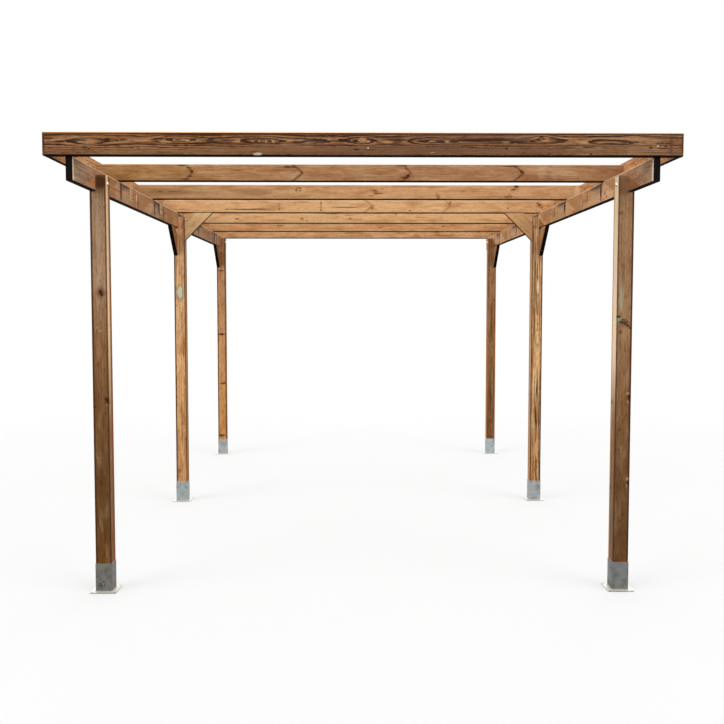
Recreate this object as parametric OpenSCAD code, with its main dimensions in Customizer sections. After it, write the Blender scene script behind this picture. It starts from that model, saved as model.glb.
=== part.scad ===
// Open timber carport frame with no roof: six square posts in steel shoes, a side beam seated on
// the notched heads of each row, cross rafters over the beams, a band of outer boards and knee braces.
// X runs across the bay, Y runs from the front (-Y) to the rear (+Y), and Z = 0 is the ground.

/* [Overall] */
// Length of the front and rear beams, the full width of the frame
total_width = 3280; // [3160:10:3600]
// Depth from the front beam's face to the rear beam's face
total_depth = 5490; // [5100:10:6000]
// Width over the outer faces of the two rows of posts
row_width = 3060; // [2700:10:3120]
// Distance between neighbouring posts of a row, centre to centre
post_pitch = 2285; // [1900:5:2500]
// Height of the seats that carry the side beams
seat_height = 2280; // [2000:10:2600]

/* [Posts] */
// Side of the square posts
post_size = 90; // [84:1:96]
// Height of the tongue left standing above the seat
tongue_height = 90; // [60:5:110]

/* [Beams and rafters] */
// Thickness of the side beams, also the depth of the notch in a post head
side_beam_thickness = 35; // [28:1:45]
// Height of the side beams
side_beam_height = 125; // [115:5:180]
// Thickness of the front and rear beams and of the rafters
rafter_thickness = 45; // [34:1:60]
// Height of the rafters
rafter_height = 105; // [80:5:120]
// Height of the front and rear beams and of the outer side boards
band_height = 120; // [120:5:150]
// Thickness of the outer side boards
side_board_thickness = 18; // [15:1:28]
// How far the front and rear beams stand out past the ends of the side beams
beam_end_setback = 20; // [0:5:30]

/* [Knee braces] */
// Horizontal and vertical reach of a brace's long edge
brace_leg = 228; // [200:4:300]
// Width of a brace board
brace_width = 112; // [80:4:120]
// Thickness of a brace board
brace_thickness = 32; // [28:1:40]

/* [Post shoes] */
// Side of the square base plate
plate_size = 150; // [146:2:180]
// Thickness of the base plate
plate_thickness = 4; // [3:0.5:8]
// Corner radius of the base plate
plate_corner_radius = 8; // [4:1:14]
// Distance of the anchor holes from the edges of the plate
anchor_inset = 12; // [11:1:16]
// Diameter of an anchor hole
anchor_hole_diameter = 11; // [9:1:13]
// Height of the socket above the plate
socket_height = 160; // [100:5:200]
// Thickness of the socket wall
socket_wall = 2; // [1.5:0.5:4]
// Inner radius of the folded corners of the socket
socket_bend = 2; // [1:0.5:3]
// Gap between post and socket wall on each side
socket_gap = 0.3; // [0.1:0.1:1]
// Diameter of a screw hole in the socket wall
screw_hole_diameter = 8; // [5:1:10]
// Distance of the outer screw holes from the ends of the socket
screw_hole_inset = 32; // [20:1:40]

/* [Planed edges] */
// Chamfer on the long edges of posts, beams and rafters
edge_chamfer = 4; // [2:0.5:6]
// Chamfer on the long edges of boards and braces
board_chamfer = 2.5; // [1:0.5:4]

/* [Hidden] */

$fn = 48;
eps = 1;

// Colours of the stained softwood and the galvanised shoes
post_colour = "#8f6a45";
beam_colour = "#94704d";
band_colour = "#6e5238";
rafter_colour = "#a8804f";
brace_colour = "#b58a58";
zinc_colour = "#9a9d9b";

// Which side of the bay a piece is on, and which row across it stands in
left = -1;
right = 1;
front_row = -post_pitch;
mid_row = 0;
rear_row = post_pitch;

// Places worked out from the sizes above
row_face_x = row_width / 2;
post_x = row_face_x - post_size / 2;
post_inner_x = row_face_x - post_size;
beam_top = seat_height + side_beam_height;
post_foot = plate_thickness;
post_top = seat_height + tongue_height;
socket_inner = post_size + 2 * socket_gap;
socket_outer = socket_inner + 2 * socket_wall;
anchor_reach = plate_size / 2 - anchor_inset;
bays_between_rafters = 6;
rafter_pitch = (total_depth - rafter_thickness) / bays_between_rafters;
band_y = (total_depth - rafter_thickness) / 2;
rafter_length = total_width - 2 * side_board_thickness;
side_board_length = total_depth - 2 * rafter_thickness;
side_beam_length = total_depth - 2 * beam_end_setback;

// ---- Shared shapes ----

// Square or oblong cross-section with its four corners planed off
module planed_section(width, height, chamfer) {
    x = width / 2;
    y = height / 2;
    polygon([
        [x - chamfer, -y], [x, -y + chamfer], [x, y - chamfer], [x - chamfer, y],
        [chamfer - x, y], [-x, y - chamfer], [-x, -y + chamfer], [chamfer - x, -y]
    ]);
}

// Timber standing on end: planed along its length and cut square at both ends
module upright_timber(width, depth, length, chamfer) {
    linear_extrude(length) planed_section(width, depth, chamfer);
}

// Timber lying across the bay, centred, with its underside at Z = 0
module cross_timber(length, thickness, height, chamfer) {
    translate([-length / 2, 0, height / 2])
        rotate([0, 90, 0])
            linear_extrude(length) planed_section(height, thickness, chamfer);
}

// Timber lying along the bay, centred, with its underside at Z = 0
module long_timber(length, thickness, height, chamfer) {
    translate([0, length / 2, height / 2])
        rotate([90, 0, 0])
            linear_extrude(length) planed_section(thickness, height, chamfer);
}

// Square outline with true round corners
module rounded_square(size, radius) {
    flat = size - 2 * radius;
    square([size, flat], center = true);
    square([flat, size], center = true);
    for (x = [-1, 1], y = [-1, 1])
        translate([x * flat / 2, y * flat / 2]) circle(radius);
}

// Puts a piece modelled for the right-hand side on either side of the bay
module on_side(side) {
    mirror([side == left ? 1 : 0, 0, 0]) children();
}

// ---- Post shoes ----

// Plate with four anchor holes
module base_plate() {
    linear_extrude(plate_thickness)
        difference() {
            rounded_square(plate_size, plate_corner_radius);
            for (x = [-1, 1], y = [-1, 1])
                translate([x * anchor_reach, y * anchor_reach]) circle(d = anchor_hole_diameter);
        }
}

// Folded square socket, open at the top, with screw holes through both side walls
module socket() {
    hole_heights = [screw_hole_inset, socket_height - screw_hole_inset];
    difference() {
        linear_extrude(socket_height)
            difference() {
                rounded_square(socket_outer, socket_bend + socket_wall);
                rounded_square(socket_inner, socket_bend);
            }
        for (z = hole_heights)
            translate([-socket_outer / 2 - eps, 0, z])
                rotate([0, 90, 0]) cylinder(d = screw_hole_diameter, h = socket_outer + 2 * eps);
    }
}

module base(side, row) {
    color(zinc_colour)
        translate([side * post_x, row, 0]) {
            base_plate();
            translate([0, 0, plate_thickness]) socket();
        }
}

// ---- Posts ----

// Square post whose head is notched on the outer side, leaving a seat and a tongue
module post(side, row) {
    color(post_colour)
        on_side(side)
            translate([post_x, row, 0])
                difference() {
                    translate([0, 0, post_foot])
                        upright_timber(post_size, post_size, post_top - post_foot, edge_chamfer);
                    translate([post_size / 2 - side_beam_thickness, -post_size / 2 - eps, seat_height])
                        cube([side_beam_thickness + eps, post_size + 2 * eps, tongue_height + eps]);
                }
}

// ---- Beams, rafters and boards ----

// Beam that sits on the three seats of a row, flush with the posts' outer faces
module side_beam(side) {
    color(beam_colour)
        translate([side * (row_face_x - side_beam_thickness / 2), 0, seat_height])
            long_timber(side_beam_length, side_beam_thickness, side_beam_height, edge_chamfer);
}

// Front or rear beam, which rests on the side beams and closes the band
module end_beam(y) {
    color(band_colour)
        translate([0, y, beam_top])
            cross_timber(total_width, rafter_thickness, band_height, edge_chamfer);
}

// Rafters are counted from the front, and lie between the outer side boards
module rafter(index) {
    color(rafter_colour)
        translate([0, -band_y + index * rafter_pitch, beam_top])
            cross_timber(rafter_length, rafter_thickness, rafter_height, edge_chamfer);
}

module side_board(side) {
    color(band_colour)
        translate([side * (total_width - side_board_thickness) / 2, 0, beam_top])
            long_timber(side_board_length, side_board_thickness, band_height, board_chamfer);
}

// ---- Knee braces ----

// Board at 45 degrees in the XZ plane, sawn upright against X = 0 and level against Z = 0.
// It reaches brace_leg along +X and down -Z, and its back face is at Y = 0.
module knee_brace() {
    span = 2 * brace_leg;
    edge_to_axis = brace_width / 2;
    intersection() {
        translate([0, -brace_thickness / 2, -brace_leg])
            rotate([0, 45, 0])
                translate([-edge_to_axis, 0, -span / 2])
                    upright_timber(brace_width, brace_thickness, 2 * span, board_chamfer);
        translate([0, -brace_thickness - eps, -span])
            cube([span, brace_thickness + 2 * eps, span]);
    }
}

// From the inner face of a middle post to the middle rafter, flush with the rafter's front
module cross_brace(side) {
    color(brace_colour)
        on_side(side)
            translate([post_inner_x, mid_row + brace_thickness - rafter_thickness / 2, beam_top])
                mirror([1, 0, 0]) knee_brace();
}

// From the front face of a post forward to the underside of the side beam, flush with the
// outer faces of both
module long_brace(side, row) {
    color(brace_colour)
        on_side(side)
            translate([row_face_x, row - post_size / 2, seat_height])
                rotate([0, 0, -90]) knee_brace();
}

base(left, front_row);  // base_front_left
base(right, front_row);  // base_front_right
base(left, mid_row);  // base_mid_left
base(right, mid_row);  // base_mid_right
base(left, rear_row);  // base_rear_left
base(right, rear_row);  // base_rear_right
post(left, front_row);  // post_front_left
post(right, front_row);  // post_front_right
post(left, mid_row);  // post_mid_left
post(right, mid_row);  // post_mid_right
post(left, rear_row);  // post_rear_left
post(right, rear_row);  // post_rear_right
side_beam(left);  // side_beam_left
side_beam(right);  // side_beam_right
end_beam(-band_y);  // front_beam
end_beam(band_y);  // rear_beam
rafter(1);  // rafter_1
rafter(2);  // rafter_2
rafter(3);  // rafter_3
rafter(4);  // rafter_4
rafter(5);  // rafter_5
side_board(left);  // side_board_left
side_board(right);  // side_board_right
cross_brace(left);  // cross_brace_left
cross_brace(right);  // cross_brace_right
long_brace(left, mid_row);  // long_brace_mid_left
long_brace(right, mid_row);  // long_brace_mid_right
long_brace(left, rear_row);  // long_brace_rear_left
long_brace(right, rear_row);  // long_brace_rear_right
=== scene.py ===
import math

import bmesh
import bpy
from mathutils import Matrix, Vector


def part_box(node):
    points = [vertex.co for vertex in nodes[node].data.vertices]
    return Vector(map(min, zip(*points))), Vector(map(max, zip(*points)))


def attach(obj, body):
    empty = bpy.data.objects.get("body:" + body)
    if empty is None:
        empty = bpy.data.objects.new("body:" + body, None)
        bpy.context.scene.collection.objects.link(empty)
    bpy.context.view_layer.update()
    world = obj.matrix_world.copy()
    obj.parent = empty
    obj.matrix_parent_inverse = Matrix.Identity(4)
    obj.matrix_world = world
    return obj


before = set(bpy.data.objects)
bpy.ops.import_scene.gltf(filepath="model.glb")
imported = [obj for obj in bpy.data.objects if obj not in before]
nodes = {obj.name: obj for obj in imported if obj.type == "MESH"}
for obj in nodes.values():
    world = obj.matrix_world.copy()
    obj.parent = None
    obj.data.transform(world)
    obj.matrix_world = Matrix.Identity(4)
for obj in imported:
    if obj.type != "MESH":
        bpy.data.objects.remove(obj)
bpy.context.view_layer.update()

scene = bpy.context.scene
sides = {"left": -1, "right": 1}  # which way that row's outer face looks along X
rows = ("front", "mid", "rear")
mm = 0.001


def toLinear(hexColour):
    # sRGB hex to the linear values that a shader takes
    parts = [int(hexColour[i:i + 2], 16) / 255 for i in (1, 3, 5)]
    return tuple(c / 12.92 if c <= 0.04045 else ((c + 0.055) / 1.055) ** 2.4 for c in parts) + (1.0,)


def addNode(tree, kind, inputs=(), out=0, stops=(), **settings):
    # adds a shader node with its settings, links and ramp stops, and gives back one output
    node = tree.nodes.new("ShaderNode" + kind)
    for name, value in settings.items():
        setattr(node, name, value)
    for key, value in inputs.items() if isinstance(inputs, dict) else enumerate(inputs):
        if isinstance(value, bpy.types.NodeSocket):
            tree.links.new(value, node.inputs[key])
        else:
            node.inputs[key].default_value = value
    if stops:
        for _ in stops[2:]:
            node.color_ramp.elements.new(0.5)
        for element, (place, colour) in zip(node.color_ramp.elements, stops):
            element.position, element.color = place, colour
    return node if out is None else node.outputs[out]


def newTree(name):
    material = bpy.data.materials.new(name)
    material.use_nodes = True
    material.node_tree.nodes.clear()
    return material, material.node_tree


def ovalDistance(tree, point, place, reach):
    # how far a point lies from a place, as a share of the reach along each axis; plain vector
    # maths, since a long list of places rendered black with a Mapping node for each
    shares = [1 / r for r in reach]
    q = addNode(tree, "VectorMath", (point, shares, [-p * share for p, share in zip(place, shares)]),
                operation="MULTIPLY_ADD")
    return addNode(tree, "VectorMath", (q,), out="Value", operation="LENGTH")


def layUp(tree, colour, layers):
    # lays tints over a colour in turn; a layer is pattern, from, to, strength, tint, blend
    for pattern, begins, full, strength, tint, blend in layers:
        mask = addNode(tree, "MapRange", (pattern, begins, full, 0.0, strength),
                       interpolation_type="SMOOTHSTEP")
        colour = addNode(tree, "Mix", {0: mask, 6: colour, 7: toLinear(tint)}, out=2,
                         data_type="RGBA", blend_type=blend)
    return colour


def seenByEye(tree):
    # one where a ray is looked along, straight or by way of a mirror or glass, else nothing
    rays = addNode(tree, "LightPath", out=None).outputs
    seen = addNode(tree, "Math", (rays["Is Camera Ray"], rays["Is Glossy Ray"]), operation="MAXIMUM")
    return addNode(tree, "Math", (seen, rays["Is Transmission Ray"]), operation="MAXIMUM")


def joined(prefix, node):
    # "front_beam" becomes "prefixFrontBeam"
    return prefix + "".join(word.capitalize() for word in node.split("_"))


def dress(node, material):
    # gives a CAD node its finish
    for slot in nodes[node].material_slots:
        slot.material = material


def finishPiece(name, bm, material):
    # turns a finished bmesh into a piece at the origin that rides on the frame
    bmesh.ops.remove_doubles(bm, verts=bm.verts, dist=0.00001)
    bmesh.ops.recalc_face_normals(bm, faces=bm.faces)
    mesh = bpy.data.meshes.new(name)
    bm.to_mesh(mesh)
    bm.free()
    mesh.materials.append(material)
    mesh.shade_smooth()
    mesh.set_sharp_from_angle(angle=math.radians(35))
    piece = bpy.data.objects.new(name, mesh)
    scene.collection.objects.link(piece)
    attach(piece, "root")


# Someone standing in front of the bay, a little left of its middle
cameraSettings = {"place": (-0.0719, -7.1730, 1.6444), "pitch": -3.213, "turn": -0.620,
                  "lens": 42.56, "shift": (0.0035, -0.0125)}

cameraData = bpy.data.cameras.new("camera")
cameraData.sensor_width = 36
cameraData.lens = cameraSettings["lens"]
cameraData.shift_x, cameraData.shift_y = cameraSettings["shift"]
cameraData.clip_end = 200
camera = bpy.data.objects.new("camera", cameraData)
camera.location = cameraSettings["place"]
camera.rotation_euler = (math.radians(90 + cameraSettings["pitch"]), 0,
                         math.radians(cameraSettings["turn"]))
scene.collection.objects.link(camera)
scene.camera = camera
scene.view_settings.view_transform = "Standard"
print("camera set")


# Pine, sawn and planed, dipped in a brown preservative and left in the weather. The stain sinks
# deepest into the late wood and knots stay hard and dark. What faces up is painted paler, as
# painted light, and the undersides are painted nearly black, as painted shade.
pineSettings = {
    "ringMm": 3.6,           # growth rings; drawn a little wide, so that they show
    "rings": 0.45, "lateTint": "#7a5437", "early": 0.25, "earlyTint": "#e6bd8a",
    "swellMm": 20,           # how far a ring wanders off its cylinder, which closes the arches
    "wobbleMm": 4,
    "knotPitchMm": 460,      # from one whorl of branches to the next
    "knotMm": (4, 9),        # knot radius
    "whorls": 1, "knots": (), "knotDepth": 0.6,
    "knotFar": 2.6, "fray": 1.6,  # in knot radii: what counts as no knot, and how ragged one is
    "knotPush": (-0.22, 15),      # how fast a knot's push on the rings dies off, and its mm
    # a knot's red-brown heart, its dark bark ring, then resin-darkened wood
    "knotTones": ((0.0, "#b98a5e"), (0.2, "#a5744a"), (0.28, "#4a2d1a"), (0.37, "#b88c66"),
                  (0.6, "#e6d0b8"), (0.95, "#ffffff")),
    "lean": 0.35,            # branches rise, so a knot is cut a little long
    "eyeFall": 1.25,         # how sharply a closed arch rises to its middle
    "driftMm": 320,          # how far the stain's tones wander along the timber
    "streaks": 0.6, "streakTint": "#b0875f",
    "blotches": 0.6, "blotchTint": "#b98f69",
    "grit": 0.45, "gritTint": "#a9835c",
    "pale": 0.35, "paleTint": "#f0cf9e",
    "checks": 0.5, "checkTint": "#2c1b10",
    "edge": 0.55, "edgeTint": "#80502a",
    "edgeAt": (0.92, 1.02),  # where the worn edge starts and is full, as a share of the half width
    "edgeRagged": 0.1, "edgeLean": 0.08,
    "drip": 0.85, "lowerEdgeShadeTint": "#1f130b", "lowerEdgeShadeMm": (9, 4),  # starts and is full above the lower arris
    "ends": 0.85, "endTint": "#4f3d31",
    "tops": 0.6, "topLightTint": "#e6c9a0",
    "under": 0.97, "underShadeTint": "#2a1e16",
    "strokes": (), "strokeTint": "#3d2415", "strokeDepth": 0.85,
    "glows": (), "glowTint": "#bd8f60", "glowDepth": 0.7,
    "thick": 1.3, "bendMm": 14, "sinkMm": 14,  # strokes are drawn thick and follow the wobbling grain
    "bowTint": "#94694a", "bowCurve": (0.02, 1.1), "bowRaggedMm": 26,
    "footMm": (1200, 1750), "footDriftMm": 500, "farMm": 18,  # for the painted light and shade on the face towards the bay
    # the wedges of painted shade: raggedness, softness, and how far before its timber one can reach
    "wedgeRaggedMm": 14, "wedgeSoftMm": 5, "wedgeMaxMm": 500,
    "eyes": (), "bows": (), "marks": (), "inner": None, "shades": (),
    "roughness": (0.62, 0.84), "gloss": 0.1, "heightMm": 0.9, "bump": 0.7,
}
# Each noise: mm along the grain, mm across it, detail, roughness. Real fibres are far finer
# than 2 mm and are drawn as coarse as they need to show.
grainNoises = {
    "fibre": (150, 2.2, 3, 0.65),
    "streak": (420, 8, 2, 0.5),
    "blotch": (190, 42, 3, 0.55),
    "patch": (620, 110, 2, 0.5),
    "swell": (330, 500, 1, 0.4),
    "wobble": (130, 24, 2, 0.5),
    "wander": (30, 12, 2, 0.6),
    "check": (800, 12, 1, 0.5),
    "checkPatch": (420, 60, 0, 0.5),
    "ragged": (34, 8, 3, 0.6),
}
# How each run of timber is turned, in degrees, so that local X is along the grain
runs = {
    "across": (0, 0, 0), "along": (0, 0, 90), "upright": (0, -90, 0),
    "braceLeft": (0, -45, 0), "braceRight": (0, -135, 0), "braceLong": (0, -45, -90),
}


def dressPine(node, run, look):
    # one timber's material: look is what sets it apart from the others
    s = {**pineSettings, **look}
    material, t = newTree(joined("stainedPine", node))
    low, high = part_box(node)
    origin = (low + high) / 2
    size = (high - low) / mm
    half = {"across": (size.y / 2, size.z / 2), "along": (size.x / 2, size.z / 2),
            "upright": (size.y / 2, size.x / 2)}.get(run)
    if run == "upright":
        origin.z = 0.0
    turn = tuple(math.radians(a) for a in runs[run])
    pithY, pithZ = s["pith"]

    # local millimetres, X along the grain
    local = addNode(t, "Mapping", {
        "Vector": addNode(t, "TexCoord", out="Object"), "Location": origin, "Rotation": turn,
        "Scale": (mm, mm, mm)}, vector_type="TEXTURE")
    x, y, z = addNode(t, "SeparateXYZ", (local,), out=None).outputs
    shifted = addNode(t, "VectorMath", (local, (s["seed"] * 1310, s["seed"] * 97, s["seed"] * 53)))
    noise = {}
    for pattern, (along, across, detail, rough) in grainNoises.items():
        squeezed = addNode(t, "VectorMath", (shifted, (1 / along, 1 / across, 1 / across)),
                           operation="MULTIPLY")
        noise[pattern] = addNode(t, "TexNoise", {
            "Vector": squeezed, "Scale": 1.0, "Detail": detail, "Roughness": rough})

    # knots this timber is known by: distance from the branch's own line, in knot radii
    fray = s["fray"]
    nearest = addNode(t, "Math", (noise["wander"], fray / 2, s["knotFar"]), operation="MULTIPLY_ADD")
    for knotX, knotY, knotZ, radius in s["knots"]:
        branch = Vector((0, knotY - pithY, knotZ - pithZ)).normalized() + Vector((s["lean"], 0, 0))
        fromKnot = addNode(t, "VectorMath", (local, (knotX, knotY, knotZ)), operation="SUBTRACT")
        aside = addNode(t, "VectorMath", (fromKnot, branch.normalized()), operation="CROSS_PRODUCT")
        aside = addNode(t, "VectorMath", (aside,), out="Value", operation="LENGTH")
        away = addNode(t, "Math", (noise["wander"], fray, -fray / 2), operation="MULTIPLY_ADD")
        away = addNode(t, "Math", (aside, 1 / radius, away), operation="MULTIPLY_ADD")
        nearest = addNode(t, "Math", (nearest, away), operation="MINIMUM")
    # and chance ones, a whorl in each stretch of the timber
    for whorl in range(s["whorls"]):
        cell = addNode(t, "Math", (x, 1 / s["knotPitchMm"], s["seed"] * 7.37 + whorl * 0.43),
                       operation="MULTIPLY_ADD")
        chance = addNode(t, "TexWhiteNoise", {"W": addNode(t, "Math", (cell,), operation="FLOOR")},
                         out="Color", noise_dimensions="1D")
        place, angle, big = addNode(t, "SeparateColor", (chance,), out=None).outputs
        place = addNode(t, "Math", (place, 0.5, 0.25), operation="MULTIPLY_ADD")
        alongGrain = addNode(t, "Math", (addNode(t, "Math", (cell,), operation="FRACT"), place),
                             operation="SUBTRACT")
        alongGrain = addNode(t, "Math", (alongGrain, s["knotPitchMm"] * 0.8), operation="MULTIPLY")
        angle = addNode(t, "Math", (angle, 2 * math.pi), operation="MULTIPLY")
        sine, cosine = (addNode(t, "Math", (angle,), operation=wave) for wave in ("SINE", "COSINE"))
        fromPith = [addNode(t, "Math", (axis, pith), operation="SUBTRACT")
                    for axis, pith in ((y, pithY), (z, pithZ))]
        away = addNode(t, "Math", (addNode(t, "Math", (fromPith[0], sine), operation="MULTIPLY"),
                                   addNode(t, "Math", (fromPith[1], cosine), operation="MULTIPLY")),
                       operation="SUBTRACT")
        away = addNode(t, "VectorMath", (addNode(t, "CombineXYZ", (alongGrain, away)),), out="Value",
                       operation="LENGTH")
        small, large = s["knotMm"]
        radius = addNode(t, "Math", (big, large - small, small), operation="MULTIPLY_ADD")
        away = addNode(t, "Math", (away, radius), operation="DIVIDE")
        away = addNode(t, "Math", (noise["wander"], fray, away), operation="MULTIPLY_ADD")
        away = addNode(t, "Math", (away, fray / 2), operation="SUBTRACT")
        nearest = addNode(t, "Math", (nearest, away), operation="MINIMUM")

    # growth rings: the distance from the pith, swollen along the trunk and pushed out by knots
    ring = addNode(t, "VectorMath", (local, (0, 1, 1), (0, -pithY, -pithZ)), operation="MULTIPLY_ADD")
    ring = addNode(t, "VectorMath", (ring,), out="Value", operation="LENGTH")
    for pattern in ("swell", "wobble"):
        ring = addNode(t, "Math", (noise[pattern], s[pattern + "Mm"], ring), operation="MULTIPLY_ADD")
    fall, push = s["knotPush"]
    bulge = addNode(t, "Math", (nearest, nearest), operation="MULTIPLY")
    bulge = addNode(t, "Math", (addNode(t, "Math", (bulge, fall), operation="MULTIPLY"),),
                    operation="EXPONENT")
    ring = addNode(t, "Math", (bulge, push, ring), operation="MULTIPLY_ADD")
    for eyeX, eyeZ, reach, tall, depth in s["eyes"]:  # closed arches where the saw grazed a swelling
        q = ovalDistance(t, local, (eyeX, 0, eyeZ), (reach, 900, tall))  # right through the timber
        q = addNode(t, "Math", (q, s["eyeFall"]), operation="POWER")
        q = addNode(t, "Math", (addNode(t, "Math", (q, -1), operation="MULTIPLY"),), operation="EXPONENT")
        ring = addNode(t, "Math", (q, -depth, ring), operation="MULTIPLY_ADD")
    ring = addNode(t, "Math", (ring, 1 / s["ringMm"]), operation="MULTIPLY")
    ring = addNode(t, "Math", (ring,), operation="FRACT")
    lateWood = addNode(t, "ValToRGB", (ring,), stops=[
        (0.0, (0, 0, 0, 1)), (0.45, (0, 0, 0, 1)), (0.7, (0.75, 0.75, 0.75, 1)),
        (0.9, (1, 1, 1, 1)), (1.0, (0, 0, 0, 1))])
    plain = addNode(t, "MapRange", (noise["patch"], 0.35, 0.62, 0.45, 1.0))
    ringMask = addNode(t, "Math", (lateWood, plain), operation="MULTIPLY")
    earlyMask = addNode(t, "Math", (addNode(t, "MapRange", (ring, 0.45, 0.05)), plain),
                        operation="MULTIPLY")

    # drying checks: thin lines that open along the grain
    line = addNode(t, "Math", (addNode(t, "Math", (noise["check"], 0.5), operation="SUBTRACT"),),
                   operation="ABSOLUTE")
    line = addNode(t, "MapRange", (line, 0.004, 0.014, 1.0, 0.0))
    crack = addNode(t, "Math", (line, addNode(t, "MapRange", (noise["checkPatch"], 0.56, 0.66))),
                    operation="MULTIPLY")

    # which way a face looks: sawn end, top, underside
    facing = addNode(t, "NewGeometry", out="True Normal")
    ways = addNode(t, "Mapping", {"Vector": facing, "Rotation": turn}, vector_type="TEXTURE")
    endWay, _, innerWay = addNode(t, "SeparateXYZ", (ways,), out=None).outputs
    endWay = addNode(t, "Math", (endWay,), operation="ABSOLUTE")
    upWay = addNode(t, "SeparateXYZ", (facing,), out=2)

    # the stain's own drift along the timber
    tones = s["tones"]
    start, end = tones[0][0], tones[-1][0]
    drift = addNode(t, "Math", (noise["patch"], s["driftMm"], x), operation="MULTIPLY_ADD")
    drift = addNode(t, "MapRange", (drift, start + s["driftMm"] / 2, end + s["driftMm"] / 2))
    colour = addNode(t, "ValToRGB", (drift,), stops=[
        ((place - start) / (end - start), toLinear(tone)) for place, tone in tones])

    layers = [  # pattern, from, to, strength, colour, blend
        (noise["blotch"], 0.46, 0.7, s["blotches"], s["blotchTint"], "MULTIPLY"),
        (noise["blotch"], 0.48, 0.3, s["pale"], s["paleTint"], "MIX"),
        (earlyMask, 0, 1, s["early"], s["earlyTint"], "MIX"),
        (ringMask, 0, 1, s["rings"], s["lateTint"], "MULTIPLY"),
        (noise["streak"], 0.5, 0.68, s["streaks"], s["streakTint"], "MULTIPLY"),
        (noise["ragged"], 0.48, 0.68, s["grit"], s["gritTint"], "MULTIPLY"),
        (noise["fibre"], 0.47, 0.7, s["grit"], s["gritTint"], "MULTIPLY"),
        (crack, 0, 1, s["checks"], s["checkTint"], "MIX"),
    ]
    if s["inner"]:  # painted light and shade: the face towards the bay gets its own tone, paler on some posts and darker on others, and another along its far side; near the foot only a share of the first
        way, tone, strength, farTone, foot, farFrom = s["inner"]
        inward = addNode(t, "Math", (innerWay, way), operation="MULTIPLY")
        inward = addNode(t, "MapRange", (inward, 0.5, 0.8))
        high = addNode(t, "Math", (noise["patch"], s["footDriftMm"], x), operation="MULTIPLY_ADD")
        high = addNode(t, "MapRange", (high, *s["footMm"], foot, 1.0))
        high = addNode(t, "Math", (inward, high), operation="MULTIPLY")
        layers.append((high, 0, 1, strength, tone, "MIX"))
        far = addNode(t, "MapRange", (y, farFrom, farFrom + s["farMm"]))
        far = addNode(t, "Math", (inward, far), operation="MULTIPLY")
        layers.append((far, 0, 1, strength, farTone, "MIX"))
    # painted shade: a slanting wedge on the face in front of each crossing timber, where a low light from
    # behind would cast its shadow
    ragged, soft, longest = s["wedgeRaggedMm"], s["wedgeSoftMm"], s["wedgeMaxMm"]
    for first, pitch, slope, rise, reach, above, tone, strength in s["shades"]:
        phase = addNode(t, "Math", (x, pitch - longest + first, first - longest), operation="WRAP")
        phase = addNode(t, "Math", (phase, first), operation="SUBTRACT")
        line = addNode(t, "Math", (phase, -slope, z), operation="MULTIPLY_ADD")
        line = addNode(t, "Math", (noise["ragged"], ragged, line), operation="MULTIPLY_ADD")
        line = addNode(t, "MapRange", (line, rise + ragged / 2 - soft * above,
                                       rise + ragged / 2 + soft * above))
        front = addNode(t, "MapRange", (phase, 2, -2))
        front = addNode(t, "Math", (front, addNode(t, "MapRange", (phase, -reach - 20, -reach))),
                        operation="MULTIPLY")
        wedge = addNode(t, "Math", (line, front), operation="MULTIPLY")
        layers.append((wedge, 0, 1, strength, tone, "MIX"))
    if half:  # handling and weather work the edges
        near = [addNode(t, "Math", (addNode(t, "Math", (axis, 1 / reach), operation="MULTIPLY"),),
                        operation="ABSOLUTE") for axis, reach in zip((y, z), half)]
        near = addNode(t, "Math", near, operation="MINIMUM")
        near = addNode(t, "Math", (noise["ragged"], s["edgeRagged"], near), operation="MULTIPLY_ADD")
        if s["inner"]:  # the outer arrises catch the weather
            lean = -s["edgeLean"] * s["inner"][0] / half[1]
            near = addNode(t, "Math", (z, lean, near), operation="MULTIPLY_ADD")
        layers.append((near, *s["edgeAt"], s["edge"], s["edgeTint"], "MIX"))
        if run != "upright":  # the faces are painted nearly black just above the lower arris, as painted shade
            begins, full = (above - half[1] for above in s["lowerEdgeShadeMm"])
            layers.append((z, begins, full, s["drip"], s["lowerEdgeShadeTint"], "MIX"))
    for place, reach, tone, strength, ragged in s["marks"]:  # scars, resin, damp
        q = ovalDistance(t, local, place, reach)
        q = addNode(t, "Math", (noise["ragged"], ragged, q), operation="MULTIPLY_ADD")
        layers.append((q, 1.0 + ragged / 2, 0.4 + ragged / 2, strength, tone, "MIX"))
    # short dark strokes of late wood or bark, and pale ones of bare early wood
    bent = addNode(t, "CombineXYZ", {"Z": noise["wobble"]})
    bent = addNode(t, "VectorMath", (bent, (0, 0, s["bendMm"]), local), operation="MULTIPLY_ADD")
    for group, tone, strength in (("glows", s["glowTint"], s["glowDepth"]),
                                  ("strokes", s["strokeTint"], s["strokeDepth"])):
        closest = None
        for strokeX, strokeZ, reach, tall in s[group]:
            q = ovalDistance(t, bent, (strokeX, s["face"], strokeZ + s["bendMm"] / 2),
                             (reach, s["sinkMm"], tall * s["thick"]))
            closest = q if closest is None else addNode(t, "Math", (closest, q), operation="MINIMUM")
        if closest is not None:
            q = addNode(t, "Math", (noise["ragged"], 1.0, closest), operation="MULTIPLY_ADD")
            layers.append((q, 1.85, 1.3, strength, tone, "MIX"))
    share, power = s["bowCurve"]
    for bowX, bowZ, bend, width, strength in s["bows"]:  # dark arches beside a branch
        q = addNode(t, "Math", (z, share, -share * bowZ), operation="MULTIPLY_ADD")
        q = addNode(t, "Math", (addNode(t, "Math", (q,), operation="ABSOLUTE"), power), operation="POWER")
        q = addNode(t, "Math", (q, bend, x), operation="MULTIPLY_ADD")
        q = addNode(t, "Math", (noise["ragged"], s["bowRaggedMm"], q), operation="MULTIPLY_ADD")
        q = addNode(t, "Math", (q, bowX + s["bowRaggedMm"] / 2), operation="SUBTRACT")
        q = addNode(t, "Math", (q,), operation="ABSOLUTE")
        layers.append((q, width * 3, 0, strength * 0.6, s["bowTint"], "MULTIPLY"))
        broken = addNode(t, "MapRange", (noise["wander"], 0.3, 0.46))
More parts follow.
